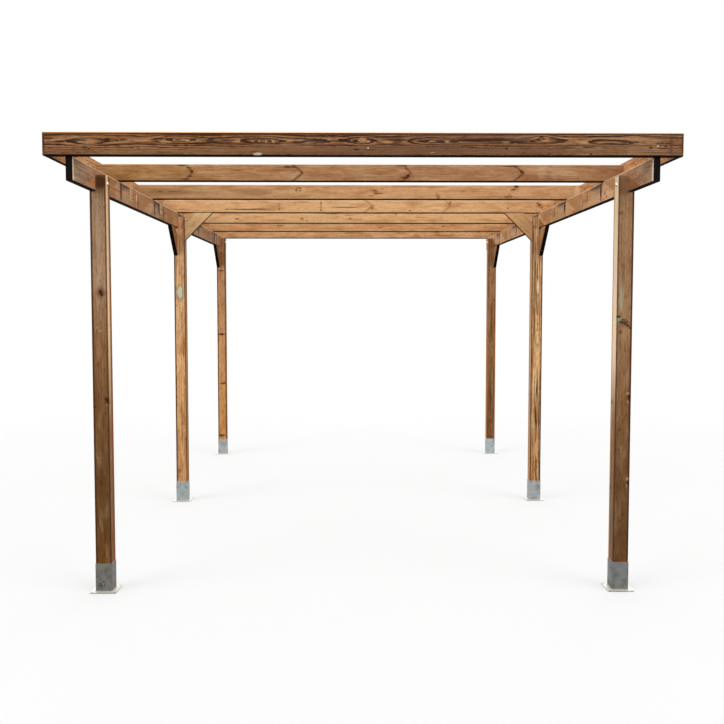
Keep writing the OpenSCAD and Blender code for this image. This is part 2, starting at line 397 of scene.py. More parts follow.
        q = addNode(t, "Math", (addNode(t, "MapRange", (q, width, 0)), broken), operation="MULTIPLY")
        layers.append((q, 0, 1, strength, s["strokeTint"], "MIX"))
    layers += [
        (endWay, 0.5, 0.8, s["ends"], s["endTint"], "MULTIPLY"),
        # painted light: what faces up is painted paler
        (upWay, 0.4, 0.75, s["tops"], s["topLightTint"], "MIX"),
        # painted shade: the undersides are painted nearly black
        (upWay, -0.15, -0.6, s["under"], s["underShadeTint"], "MULTIPLY"),
    ]
    colour = layUp(t, colour, layers)
    nearest = addNode(t, "Math", (nearest, 1 / 3), operation="MULTIPLY")
    knotRing = addNode(t, "ValToRGB", (nearest,), stops=[
        (place, toLinear(tone)) for place, tone in s["knotTones"]])
    colour = addNode(t, "Mix", {0: s["knotDepth"], 6: colour, 7: knotRing}, out=2,
                     data_type="RGBA", blend_type="MULTIPLY")

    height = addNode(t, "Math", (lateWood, 0.5, noise["fibre"]), operation="MULTIPLY_ADD")
    height = addNode(t, "Math", (crack, -1.5, height), operation="MULTIPLY_ADD")
    bump = addNode(t, "Bump", {"Height": height, "Distance": s["heightMm"] * mm, "Strength": s["bump"]})
    rough = addNode(t, "MapRange", (noise["fibre"], 0.3, 0.75, *s["roughness"]))
    rough = addNode(t, "Math", (rough, addNode(t, "MapRange", (upWay, -0.15, -0.6))), operation="MAXIMUM")
    shader = addNode(t, "BsdfPrincipled", {
        "Base Color": colour, "Roughness": rough, "Normal": bump, "IOR": 1.46,
        "Specular IOR Level": s["gloss"]})
    addNode(t, "OutputMaterial", (shader,), out=None)
    dress(node, material)


# eyes: place, height, half length, half height, depth in rings' mm
# strokes and glows: place, height, half length, half height
# marks: place, reach, tone, strength, raggedness
frontBeam = {
    "seed": 3, "pith": (72, 18), "face": -22.5, "rings": 1.0, "lateTint": "#4d2d1d", "ringMm": 4.2,
    "swellMm": 7, "wobbleMm": 3, "early": 0.6, "earlyTint": "#c49364", "strokeDepth": 0.95,
    "tones": [(-1640, "#96694a"), (-1200, "#966b48"), (-700, "#8d6443"), (-200, "#805a42"),
              (700, "#846048"), (1100, "#9e7756"), (1640, "#9f7857")],
    "eyes": [(-1405, 8, 60, 17, 7), (-946, 20, 85, 18, 11), (-514, 14, 110, 17, 13), (-300, 12, 60, 12, 5),
             (-30, 18, 60, 20, 8), (300, 15, 60, 14, 6), (389, 12, 50, 14, 5), (560, 18, 120, 14, 6),
             (906, 28, 55, 22, 8), (1262, 6, 90, 12, 5)],
    "strokes": [
        (-1610, 28, 26, 2), (-1549, 10, 28, 3), (-1492, 11, 30, 3), (-1436, 16, 24, 2.4),
        (-1424, -20, 12, 2.6), (-1404, -26, 8, 2), (-1330, 20, 60, 1.6), (-1180, 0, 120, 1.8),
        (-1040, 22, 24, 2.2), (-1003, 22, 14, 3.2),
        (-984, 20, 8, 5), (-868, 21, 14, 3), (-962, -9, 12, 2.4), (-908, -9, 10, 2.4), (-1022, -17, 34, 2),
        (-791, 18, 24, 2.6), (-700, 18, 40, 1.6), (-612, 14, 22, 3), (-416, 13, 20, 3.4), (-340, 9, 36, 4),
        (-270, 16, 40, 2), (-134, 16, 44, 2.8), (-79, 15, 12, 4), (-47, 14, 14, 5), (51, 17, 20, 3.6),
        (176, 23, 66, 2.6), (299, 15, 30, 5.5), (389, 12, 18, 3.6), (460, 15, 26, 5), (351, 34, 40, 2),
        (313, 54, 20, 2.4), (560, 19, 90, 5), (678, 22, 70, 3), (782, 13, 36, 4), (728, -22, 8, 4),
        (862, 16, 18, 3.2), (888, 26, 14, 3), (908, 38, 10, 3), (1153, -13, 30, 2), (1262, 4, 52, 3),
        (1330, 1, 40, 2), (1371, 9, 14, 3.6), (1432, 9, 18, 1.8), (1471, -15, 11, 3.4),
        (1537, -20, 26, 2.6), (1555, 6, 12, 2), (1508, 4, 8, 2.4), (1530, 8, 7, 2.4), (1548, -10, 9, 2.4),
        (1164, -48, 7, 3), (30, -30, 30, 2), (-40, -28, 16, 3),
        (-1470, 20, 26, 2), (-1452, 0, 26, 2), (-560, 24, 60, 1.8), (-560, 3, 60, 1.8), (-460, 3, 50, 1.8)],
    "glows": [(-1408, 8, 24, 6), (-1440, 8, 18, 3), (-1560, 22, 30, 3), (-1010, 10, 30, 3),
              (-650, 12, 22, 4), (-465, 13, 6, 5), (-500, 13, 5, 5), (-535, 14, 5, 5),
              (-380, 14, 20, 3), (-9, 22, 20, 9), (20, 14, 12, 4),
              (120, 12, 30, 4), (345, 15, 18, 3), (425, 14, 14, 3), (926, 20, 20, 3), (1130, 9, 20, 3),
              (940, 32, 14, 2), (1050, 30, 40, 2), (-1250, 4, 60, 2), (-1120, 14, 50, 2),
              (-900, 14, 12, 4), (730, 14, 24, 3)],
    "marks": [
        ((0, -22, -34), (2200, 30, 26), "#8a6344", 0.5, 1.2),    # plainer wood along the lower half
        ((250, -22, -34), (900, 30, 26), "#6a4935", 0.4, 1.2),
        ((0, -22, 52), (2600, 12, 6.5), "#4a2713", 0.9, 0.3),    # a dark line below the top arris
        ((-545, -22, -60), (30, 20, 24), "#cdbfa5", 0.95, 0.9),  # a scar on the lower edge
        ((-560, -22, -38), (34, 20, 6), "#4a2a1a", 0.6, 1.0),
        ((-1482, -22, -30), (14, 20, 24), "#6b4028", 0.5, 0.8),
        ((1575, -22, 0), (14, 20, 60), "#4c3223", 0.5, 0.9),
        ((20, -22, -20), (6, 8, 5), "#efe2c6", 0.9, 0.1),
        ((1508, -22, -7), (6, 8, 5), "#efe2c6", 0.9, 0.1),
        ((351, -22, -42), (16, 8, 2.4), "#c7a988", 0.8, 0.5),
        ((-47, -22, -31), (18, 8, 2.4), "#b39a80", 0.7, 0.5),
        ((-1637, -22, 0), (12, 30, 70), "#4a2510", 0.9, 0.3),
        ((1637, -22, 0), (12, 30, 70), "#5a3014", 0.9, 0.3),
    ],
    "whorls": 0, "streaks": 0.7, "streakTint": "#957050", "pale": 0.1, "grit": 0.6,
    "edge": 0.35, "edgeTint": "#5a3520", "tops": 0.95, "topLightTint": "#f7b672",
}
rearBeam = {"seed": 11, "pith": (-60, -10), "whorls": 0, "rings": 0.25, "wobbleMm": 2.5,
            "streaks": 0.4, "grit": 0.4, "pale": 0.3, "early": 0.15,
            "tones": [(-1640, "#e1ad7a"), (1640, "#e1ac7a")]}
dressPine("front_beam", "across", frontBeam)
dressPine("rear_beam", "across", rearBeam)
print("front and rear beams dressed")


# bows: place, height, how far the arms trail, half width, strength
rafterLook = {"face": -22.5, "whorls": 0, "rings": 0.15, "wobbleMm": 2.5, "edge": 0.6,
              "edgeTint": "#8a5227", "blotches": 0.45, "streaks": 0.22, "grit": 0.3, "pale": 0.3,
              "early": 0.1, "strokeTint": "#4a2a18", "glowTint": "#efcb9c", "glowDepth": 0.6}
rafters = {
    "rafter_1": {
        "seed": 4, "pith": (64, 8),
        "tones": [(-1500, "#bf905a"), (-600, "#c49266"), (1500, "#bc8c64")],
        "bows": [(-365, 0, 62, 8, 0.9), (998, 0, 58, 8, 0.85), (301, 2, 46, 7.5, 0.7),
                 (-1044, 4, 44, 7.5, 0.55)],
        "strokes": [(-1110, 45, 26, 4), (-1065, 31, 16, 2.4), (-1047, 7, 9, 7), (-1058, -22, 14, 2.4),
                    (-1090, -40, 26, 2.4), (-457, 37, 26, 4.5), (-425, 34, 20, 3), (246, 43, 36, 3.4),
                    (285, -18, 12, 5), (265, -28, 22, 4.5), (920, 42, 60, 2.4), (990, 8, 12, 5)],
        "marks": [((1112, -22, 5), (34, 12, 60), "#c9a584", 0.4, 0.5),
                  ((1195, -22, 5), (32, 12, 60), "#c2a182", 0.4, 0.5),
                  ((-1051, -22, 5), (60, 12, 40), "#8f5f3c", 0.35, 1.0),
                  ((270, -22, -22), (70, 12, 30), "#8a5a3a", 0.4, 1.0)],
    },
    "rafter_2": {
        "seed": 5, "pith": (-70, 25),
        "tones": [(-1600, "#c69a6b"), (-500, "#d5a273"), (100, "#e0ac7a"), (1600, "#ddab7b")],
        "knots": [(112, -22, 3, 9), (562, -22, -31, 8), (1132, -22, 43, 8), (1090, -22, -40, 9)],
        "strokes": [(-1442, 2, 16, 1.6), (-1339, 6, 40, 1.6), (-462, 18, 4, 9), (-440, 30, 18, 2.4),
                    (-436, 12, 10, 2), (90, 14, 26, 2.5), (130, -8, 30, 2.5), (80, -26, 20, 2),
                    (1132, 43, 14, 6), (1110, 20, 18, 4), (1060, -32, 16, 3)],
        "glows": [(548, -36, 8, 4), (1092, -40, 18, 5)],
        "marks": [((-1370, -22, 0), (210, 12, 30), "#96704e", 0.6, 1.4),
                  ((-760, -22, 0), (150, 12, 34), "#94694a", 0.6, 1.4),
                  ((1575, -22, 0), (30, 12, 70), "#f4cd9c", 0.7, 0.4)],
    },
    "rafter_3": {
        "seed": 6, "pith": (65, -30),
        "tones": [(-1600, "#f0bc86"), (1600, "#f1bd87")],
        "knots": [(111, -22, -11, 9), (757, -22, 32, 6), (1500, -22, 14, 6)],
        "bows": [(111, 6, 60, 8, 0.4), (757, 10, 50, 8, 0.4)],
        "strokes": [(-1089, -21, 9, 4), (-908, -21, 180, 3), (-658, -21, 7, 4),
                    (-313, 32, 6, 4), (-313, -30, 7, 4), (-111, -4, 110, 2.4),
                    (425, -33, 9, 4), (1239, -11, 6, 4), (1486, 28, 9, 5), (1504, 12, 9, 5),
                    (1522, -6, 8, 5)],
        "marks": [((-658, -22, 8), (13, 12, 34), "#9d6a3c", 0.45, 1.2),
                  ((-313, -22, 0), (13, 12, 40), "#9d6a3c", 0.45, 1.2),
                  ((1500, -22, 10), (50, 12, 30), "#b0764a", 0.6, 1.0)],
        "glows": [(-1497, -16, 10, 8), (640, -10, 60, 5)],
    },
    "rafter_4": {
        "seed": 7, "pith": (-66, 5),
        "tones": [(-1600, "#edbc87"), (1600, "#eebd88")],
        "knots": [(-521, -22, -10, 8), (-73, -22, -8, 6), (357, -22, 38, 6)],
        "strokes": [(-1127, -10, 20, 3), (-475, -25, 12, 3), (600, 4, 60, 2)],
    },
    "rafter_5": {"seed": 8, "pith": (58, 20), "tones": [(-1600, "#dba774"), (1600, "#d8a472")],
                 "strokes": [(-800, 10, 30, 3), (240, -12, 24, 3), (900, 6, 20, 3)]},
}
for node, look in rafters.items():
    dressPine(node, "across", {**rafterLook, **look})
print("rafters dressed")


# Marks behind each rafter: a dark band along the top, a near-black line below its back face, paler and
# brown patches; the ends are sealed nearly black
sideBeamLook = {
    "ends": 1.0, "endTint": "#110e0d", "edge": 0.6, "edgeTint": "#e6c49b", "whorls": 0, "rings": 0.25,
    "early": 0.1, "streaks": 0.35, "blotches": 0.5, "grit": 0.4, "tops": 0.95, "topLightTint": "#f2d9b6",
    "strokeTint": "#38271b", "strokeDepth": 0.9, "glowTint": "#f6dcb8", "glowDepth": 0.8,
}
sideBeams = {
    "side_beam_left": {
        "seed": 12, "pith": (-55, 12), "face": -17.5,
        "tones": [(-2725, "#b5977e"), (-2450, "#bf9475"), (-1700, "#dca577"), (-900, "#cf9d70"),
                  (700, "#b98d69"), (2725, "#b08a6a")],
        "stains": [((-790, 0, 0), (150, 60, 70), "#8b6a50", 0.5, 1.2),
                   ((1650, 0, 0), (420, 60, 70), "#8b6b52", 0.5, 1.4)],
        "rafterShadeTone": ("#aa7549", 0.7), "postShadeTone": ("#c9895c", 0.7),
        "strokes": [(-1800, 8, 9, 52), (-1370, -16, 9, 42), (-753, 25, 14, 34), (-715, 0, 10, 30),
                    (-576, -8, 12, 52), (-640, 20, 30, 3), (1500, 24, 60, 3), (1760, 10, 16, 40),
                    (1877, 6, 20, 44), (2010, 0, 16, 48)],
        "glows": [(-1559, 28, 9, 30), (-1400, 16, 11, 16), (-670, 20, 14, 30), (-2714, 0, 9, 60)],
    },
    "side_beam_right": {
        "seed": 13, "pith": (60, -8), "face": 17.5,
        "tones": [(-2725, "#bc9f86"), (-2450, "#cfa27e"), (-1700, "#fcc390"), (-900, "#edb37b"),
                  (2725, "#f6c494")],
        "stains": [((1500, 0, -10), (60, 60, 60), "#8f6e54", 0.6, 1.4)],
        "rafterShadeTone": ("#b68357", 0.7), "postShadeTone": ("#94623a", 0.85),
        "strokes": [(-1798, 10, 9, 46), (-1880, -14, 10, 10), (-1906, -38, 9, 7), (-1376, -6, 9, 26),
                    (-905, 20, 10, 30), (-770, 18, 5, 10), (-803, -20, 6, 8), (-2130, 12, 30, 3)],
        "glows": [(-1893, -26, 9, 16), (-1360, -6, 9, 20), (-785, 0, 12, 20), (-2714, 0, 9, 60)],
    },
}
marksBehindRafters = [  # mm behind a rafter's front face, height, reach, tone, strength, raggedness
    (150, 60, (200, 60, 40), "#574233", 0.85, 1.0),
    (170, -10, (130, 60, 60), "#e2bd98", 0.35, 1.0),
    (46, 8, (26, 60, 85), "#2a2320", 0.95, 0.8),
    (352, 5, (15, 60, 70), "#6b4225", 0.8, 1.0),
    (400, 5, (34, 60, 70), "#9c6a42", 0.5, 0.7),
]
rafterFronts = [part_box(rafter)[0].y / mm for rafter in rafters]
postFronts = [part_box(f"post_{row}_left")[0].y / mm for row in rows]
for node, look in sideBeams.items():
    marks = [((front + behind, 0, height), reach, tone, strength, ragged)
             for front in rafterFronts for behind, height, reach, tone, strength, ragged in marksBehindRafters]
    # painted shade: slanting wedges in front of each rafter and each post
    # first front, pitch, slope, rise, reach, above or below, tone, strength
    shades = [(fronts[0], fronts[1] - fronts[0], 0.384, *wedge, *look[tone])
              for fronts, wedge, tone in ((rafterFronts, (62, 420, 1), "rafterShadeTone"),
                                          (postFronts, (18, 200, -1), "postShadeTone"))]
    dressPine(node, "along", {**sideBeamLook, **look, "marks": look["stains"] + marks,
                              "shades": shades})
sideBoards = {
    "side_board_left": {"seed": 14, "pith": (-60, 10), "tones": [(-2700, "#d49c68"), (2700, "#d49c68")],
                        "damp": ("#7d5232", 0.7)},
    "side_board_right": {"seed": 15, "pith": (60, 6), "tones": [(-2700, "#d89e6a"), (2700, "#d49c68")],
                         "damp": ("#946444", 0.5)},
}
for node, look in sideBoards.items():
    # painted shade: a darker patch on the board where each rafter meets it
    damp = [((front - 30, 0, -20), (55, 40, 60), *look["damp"], 1.2) for front in rafterFronts]
    dressPine(node, "along", {**look, "marks": damp})
print("side beams and boards dressed")


# On a post, local Y -45 is the front; the bay is at local Z -45 on the left and +45 on the right
postLook = {"face": -45, "edge": 0.92, "edgeTint": "#4a2610", "edgeAt": (0.76, 0.92),
            "knotMm": (3, 6), "knotPitchMm": 620,
            "rings": 0.14, "early": 0.05, "streaks": 0.2, "blotches": 0.35, "grit": 0.5, "pale": 0.12}
# inner: which way the bay lies, a tone of painted light and shade for that face, its strength, a tone for
# its far side, the share laid near the foot, where the far side begins
posts = {
    "post_front_left": {
        "seed": 21, "pith": (6, -9),
        "tones": [(150, "#6c461f"), (500, "#6c4b26"), (1100, "#805a37"), (1500, "#97714b"),
                  (1750, "#ab896b"), (2366, "#b08e6e")],
        "knots": [(1713, -45, -11, 11), (1068, -45, 37, 5), (1106, -45, -38, 9)],
        "strokes": [(1718, -8, 11, 8), (1702, -16, 9, 6), (1068, 40, 9, 5), (1112, -30, 9, 6),
                    (1094, -38, 16, 4)],
        "glows": [(1515, 14, 6, 5), (1498, -2, 6, 5), (1080, -34, 8, 4)],
        # painted shade: a dark patch at the top of the front face, under the front beam
        "marks": [((2330, -45, -12), (52, 14, 90), "#5a3717", 0.87, 0.03),
                  ((1960, -45, 2), (420, 14, 12), "#b99d80", 0.5, 0.6),
                  ((1715, -45, -8), (50, 14, 32), "#6f4f33", 0.55, 1.0),
                  ((1400, -45, 6), (90, 14, 20), "#b98c62", 0.35, 1.2)],
        "inner": (-1, "#fad3a2", 0.97, "#8a4c20", 0.2, -4),
    },
    "post_front_right": {
        "seed": 22, "pith": (-7, 8),
        "tones": [(150, "#6d482a"), (500, "#6d4d2d"), (1100, "#886240"), (1700, "#a98360"),
                  (2366, "#b28964")],
        "knots": [(1122, -45, -40, 8), (626, -45, -42, 7)],
        "strokes": [(1578, 34, 7, 9), (1548, 20, 6, 9), (1544, 8, 6, 9), (1536, -6, 6, 9),
                    (1526, -20, 6, 8), (1514, -34, 6, 8), (1560, 6, 5, 8), (1550, -10, 4, 8),
                    (1122, -38, 13, 8), (1104, -34, 7, 5), (626, -40, 15, 9)],
        "glows": [(1140, -24, 6, 9), (1098, -28, 14, 3), (648, -28, 10, 6), (610, -26, 14, 3)],
        "marks": [((1675, -45, 22), (85, 10, 15), "#a3a487", 0.75, 1.0),
                  ((1562, -45, 32), (24, 10, 16), "#84967f", 0.9, 0.8),
                  ((1535, -45, -5), (26, 10, 50), "#77512f", 0.5, 1.0),
                  ((1770, -45, 28), (90, 10, 12), "#949474", 0.4, 1.2),
                  ((1480, -45, 0), (60, 10, 34), "#b98f66", 0.35, 1.2)],
        "inner": (1, "#ffe0bd", 0.97, "#cf8d52", 0.2, 18),
    },
    "post_mid_left": {
        "seed": 23, "pith": (8, 5), "tones": [(150, "#e2a970"), (1200, "#f3c087"), (2366, "#f4c793")],
        "knots": [(256, -45, 15, 8)], "streaks": 0.6, "streakTint": "#94683f", "blotches": 0.6,
        "marks": [((1745, -45, -3), (88, 12, 42), "#6b5f40", 0.7, 0.9),
                  ((1748, -45, -3), (72, 12, 32), "#d6dcc0", 0.85, 1.0)],
        "inner": (-1, "#a8723f", 0.8, "#8a5527", 1.0, 4),
    },
    "post_mid_right": {
        "seed": 24, "pith": (-10, -6), "rings": 0.8, "ringMm": 7, "early": 0.4,
        "earlyTint": "#ffdda8", "pale": 0.6,
        "tones": [(150, "#ca935d"), (1200, "#fcc98d"), (2366, "#fdcd98")],
        "streaks": 1.0, "streakTint": "#6a4526",
        "marks": [((1795, -45, -6), (85, 12, 9), "#fbe6c2", 0.85, 0.9)],
        "inner": (1, "#d6a87c", 0.6, "#a56c3a", 1.0, 4),
    },
    "post_rear_left": {
        "seed": 25, "pith": (5, 10), "tones": [(150, "#dea160"), (1200, "#dda670"), (2366, "#ca9769")],
        "knots": [(1328, -45, 0, 10), (788, -45, -23, 9), (200, -45, 10, 10)],
        "strokes": [(1322, 4, 8, 30), (780, -10, 7, 22), (206, 6, 9, 26), (2018, 0, 6, 24)],
        "strokeTint": "#4a2a16",
        "inner": (-1, "#8a5527", 0.8, "#7a4a22", 1.0, 4),
    },
    "post_rear_right": {
        "seed": 26, "pith": (-6, -8), "rings": 0.5, "streaks": 0.9, "streakTint": "#6b4526",
        "edgeTint": "#a8662f",
        "tones": [(150, "#815637"), (1200, "#a67b51"), (2366, "#bb9067")],
        "inner": (1, "#c98650", 0.8, "#a8662f", 1.0, 4),
    },
}
for node, look in posts.items():
    dressPine(node, "upright", {**postLook, **look})
print("posts dressed")


# name: run, seed, tone, rings
braces = {
    "cross_brace_left": ("braceLeft", 31, "#ffd7a0", 0.1),
    "cross_brace_right": ("braceRight", 34, "#f6c48b", 0.6),
    "long_brace_mid_left": ("braceLong", 37, "#aa7549", 0.5),
    "long_brace_mid_right": ("braceLong", 38, "#cb986b", 0.6),
    "long_brace_rear_left": ("braceLong", 39, "#976a44", 0.5),
    "long_brace_rear_right": ("braceLong", 40, "#ba8a5c", 0.5),
}
braceLook = {"pith": (30, 40), "whorls": 0, "ends": 0.5, "under": 1.0, "underShadeTint": "#1c130c",
             "ringMm": 7, "blotches": 0.4, "streaks": 0.25, "grit": 0.3, "early": 0.1, "pale": 0.25}
for node, (run, seed, tone, rings) in braces.items():
    dressPine(node, run, {**braceLook, "seed": seed, "tones": [(-160, tone), (160, tone)],
                          "rings": rings})
print("braces dressed")


# Mild steel, folded and welded, then dipped in zinc: dull grey with faint crystals, dust and painted
# light on what faces up, such as the flat of the plate, and dark pits where the zinc has gone
zincSettings = {"crystalMm": 8, "crystals": 0.35, "crystalTint": "#c3c8ca",
                "scuffMm": 45, "scuffs": 0.55, "scuffTint": "#95958e",
                "dust": 0.95, "dustAndTopLightTint": "#f8f4e8", "pitMm": 11, "pits": 0.9, "pitTint": "#2a2420",
                "metallic": 0.65, "roughness": (0.42, 0.62), "heightMm": 0.5, "bump": 0.5}
shoeTones = {"front_left": "#73716a", "front_right": "#787978", "mid_left": "#a2aaaa",
             "mid_right": "#a8abab", "rear_left": "#b0b4b3", "rear_right": "#b2babb"}
# where the zinc is pitted, in mm from the middle of the shoe's front edge, and how far each way
shoePits = {"base_front_left": ((-12, 27, 45), (36, 20, 45))}


def zinc(name, tone, pits=None):
    s = zincSettings
    material, t = newTree(name)
    coords = addNode(t, "TexCoord", out="Object")
    crystal = addNode(t, "TexVoronoi", {"Vector": coords, "Scale": 1 / (s["crystalMm"] * mm)}, out="Color")
    crystal = addNode(t, "SeparateColor", (crystal,))
    scuff = addNode(t, "TexNoise", {"Vector": coords, "Scale": 1 / (s["scuffMm"] * mm), "Detail": 5.0,
                                    "Roughness": 0.6})
    upWay = addNode(t, "SeparateXYZ", (addNode(t, "NewGeometry", out="True Normal"),), out=2)
    layers = [
        (scuff, 0.42, 0.7, s["scuffs"], s["scuffTint"], "MULTIPLY"),
        # dust, and painted light, on what faces up
        (upWay, 0.7, 0.95, s["dust"], s["dustAndTopLightTint"], "MIX"),
    ]
    if pits:
        place, reach = pits
        q = ovalDistance(t, coords, place, reach)
        spots = addNode(t, "TexNoise", {"Vector": coords, "Scale": 1 / (s["pitMm"] * mm), "Detail": 2.0})
        spots = addNode(t, "MapRange", (spots, 0.52, 0.6))
        q = addNode(t, "Math", (spots, addNode(t, "MapRange", (q, 1.0, 0.6))), operation="MULTIPLY")
        layers.append((q, 0, 1, s["pits"], s["pitTint"], "MIX"))
    crystal = addNode(t, "MapRange", (crystal, 0, 1, 0, s["crystals"]))
    colour = addNode(t, "Mix", {0: crystal, 6: toLinear(tone), 7: toLinear(s["crystalTint"])}, out=2,
                     data_type="RGBA", blend_type="MULTIPLY")
    colour = layUp(t, colour, layers)
    rough = addNode(t, "MapRange", (scuff, 0.3, 0.7, *s["roughness"]))
    bump = addNode(t, "Bump", {"Height": scuff, "Distance": s["heightMm"] * mm, "Strength": s["bump"]})
    shader = addNode(t, "BsdfPrincipled", {"Base Color": colour, "Metallic": s["metallic"],
                                           "Roughness": rough, "Normal": bump})
    addNode(t, "OutputMaterial", (shader,), out=None)
    return material


for row in rows:
    for side in sides:
        shoe = f"base_{row}_{side}"
        low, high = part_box(shoe)
        pits = None
        if shoe in shoePits:
            (across, back, up), reach = shoePits[shoe]
            pits = (((low.x + high.x) / 2 + across * mm, low.y + back * mm, up * mm),
                    [r * mm for r in reach])
        dress(shoe, zinc(joined("galvanisedSteel", shoe), shoeTones[f"{row}_{side}"], pits))
print("shoes dressed")


# The weld that joins socket and plate, run once round with a ripple for each drop
weldSettings = {"radiusMm": 2.6, "rippleMm": 3.4, "ripple": 0.16, "halfMm": 47.3, "cornerMm": 4,
                "plateTopMm": 4, "stepMm": 1.1}
weldMetal = zinc("galvanisedWeld", "#8f918e")


def weldBead(name, centre):
    s = weldSettings
    bend = s["cornerMm"]
    straight = s["halfMm"] - bend
    quarter = [Vector((s["halfMm"], -straight + step * s["stepMm"]))
               for step in range(int(2 * straight / s["stepMm"]))]
    quarter += [Vector((straight + bend * math.cos(a), straight + bend * math.sin(a)))
                for a in (math.radians(d) for d in range(0, 90, 18))]
    path = [Matrix.Rotation(math.radians(90 * turn), 2) @ p for turn in range(4) for p in quarter]
    curve = bpy.data.curves.new(name, "CURVE")
    curve.dimensions = "3D"
    curve.bevel_depth = s["radiusMm"] * mm
    curve.bevel_resolution = 2
    spline = curve.splines.new("POLY")
    spline.points.add(len(path) - 1)
    spline.use_cyclic_u = True
    travelled = 0.0
    for i, p in enumerate(path):
        travelled += (p - path[i - 1]).length if i else 0.0
        spline.points[i].co = (centre.x + p.x * mm, centre.y + p.y * mm, s["plateTopMm"] * mm, 1)
        spline.points[i].radius = 1 + s["ripple"] * math.sin(2 * math.pi * travelled / s["rippleMm"])
    bead = bpy.data.objects.new(name + "_path", curve)
    bm = bmesh.new()
    bm.from_mesh(bead.to_mesh())
    bead.to_mesh_clear()
    bpy.data.objects.remove(bead)
    finishPiece(name, bm, weldMetal)


# Zinc-plated carriage bolts: a bright dome towards the bay, washer, nut and thread end outside.
# Each profile is (radius, height) in mm, spun round the bolt's own line.
boltSettings = {
    "dome": [(0, 6.4), (3.5, 6.2), (7, 5.2), (9.8, 3.5), (11.4, 1.7), (12, 0.5), (11.8, 0), (0, 0)],
    "washer": [(0, 2.2), (14.4, 2.2), (15, 1.7), (15, 0.4), (14.6, 0), (0, 0)],
    "thread": [(0, 16), (3.6, 16), (4.6, 15.2), (4.2, 14.6), (5, 14), (4.2, 13.4), (5, 12.8), (4.2, 12.2),
               (5, 11.6), (4.2, 11), (5, 10.4), (5, 0), (0, 0)],
    "nutAcrossMm": 17, "nutMm": 8, "nutFromMm": 2.2, "nutBevelMm": 0.7, "headSteps": 28, "threadSteps": 16,
    "heights": {"front": 2.325, "mid": 2.350, "rear": 2.330},
}
# Phosphated wood screws: nearly black sunk heads with a driver recess
screwSettings = {"head": [(0, -0.9), (1.4, -0.9), (1.9, 0.3), (3.3, 0.8), (3.9, 0.5), (4, 0), (0, 0)],
                 "steps": 14, "sunkMm": 0.9, "shoeHeights": (36, 132),
                 "braceShares": (0.17, 0.83), "boardShares": (0.28, 0.72)}
platedSettings = {"hazeMm": 4, "haze": 0.15, "hazeTint": "#8e8e88", "grime": 0.9, "lowerShadeTint": "#33302d"}


def plated(name, tone, metallic, roughness):
    s = platedSettings
    material, t = newTree(name)
    haze = addNode(t, "TexNoise", {"Vector": addNode(t, "TexCoord", out="Object"),
                                   "Scale": 1 / (s["hazeMm"] * mm), "Detail": 3.0})
    dull = addNode(t, "MapRange", (haze, 0.4, 0.7, 0.0, s["haze"]))
    colour = addNode(t, "Mix", {0: dull, 6: toLinear(tone), 7: toLinear(s["hazeTint"])}, out=2,
                     data_type="RGBA", blend_type="MULTIPLY")
    # the lower side is painted dark: painted shade and a painted dark reflection
    below = addNode(t, "SeparateXYZ", (addNode(t, "NewGeometry", out="Normal"),), out=2)
    below = addNode(t, "MapRange", (below, 0.05, -0.45, 0.0, s["grime"]))
    colour = addNode(t, "Mix", {0: below, 6: colour, 7: toLinear(s["lowerShadeTint"])}, out=2, data_type="RGBA")
    rough = addNode(t, "MapRange", (haze, 0.3, 0.7, roughness, roughness + 0.15))
    shader = addNode(t, "BsdfPrincipled", {"Base Color": colour, "Metallic": metallic, "Roughness": rough})
    addNode(t, "OutputMaterial", (shader,), out=None)
    return material


boltMetal = plated("zincPlatedSteel", "#f3f4f4", 1.0, 0.2)
screwMetal = plated("phosphatedSteel", "#2d2c2c", 0.6, 0.45)


def standing(direction, at):
    # stands local Z along a direction, at a point
    return Matrix.Translation(at) @ Vector(direction).to_track_quat("Z", "Y").to_matrix().to_4x4()


def spinProfile(bm, profile, place, steps):
    # spins a profile into a turned solid and stands it in its place
    old = set(bm.verts)
    verts = [bm.verts.new((radius * mm, 0, height * mm)) for radius, height in profile]
    edges = [bm.edges.new(pair) for pair in zip(verts, verts[1:])]
    bmesh.ops.spin(bm, geom=verts + edges, cent=(0, 0, 0), axis=(0, 0, 1), steps=steps,
                   angle=2 * math.pi, use_merge=True)
    bmesh.ops.transform(bm, matrix=place, verts=[v for v in bm.verts if v not in old])


def carriageBolt(name, inner, outer):
    s = boltSettings
    inwards = (inner - outer).normalized()
    outside = standing(-inwards, outer)
    bm = bmesh.new()
    radius = s["nutAcrossMm"] / math.sqrt(3) * mm
    nut = bmesh.ops.create_cone(bm, cap_ends=True, segments=6, depth=s["nutMm"] * mm,
                                radius1=radius, radius2=radius)
    middle = Matrix.Translation((0, 0, (s["nutFromMm"] + s["nutMm"] / 2) * mm))
    bmesh.ops.transform(bm, matrix=outside @ middle, verts=nut["verts"])
    bmesh.ops.bevel(bm, geom=bm.edges[:], offset=s["nutBevelMm"] * mm, segments=2, profile=0.5,
                    affect="EDGES", material=-1)
    spinProfile(bm, s["dome"], standing(inwards, inner), s["headSteps"])
    spinProfile(bm, s["washer"], outside, s["headSteps"])
    spinProfile(bm, s["thread"], outside, s["threadSteps"])
    finishPiece(name, bm, boltMetal)


def screws(name, heads):
    # one piece for a group of screws; each is a point and the way its head looks
    bm = bmesh.new()
    for at, direction in heads:
        spinProfile(bm, screwSettings["head"], standing(direction, at), screwSettings["steps"])
    finishPiece(name, bm, screwMetal)


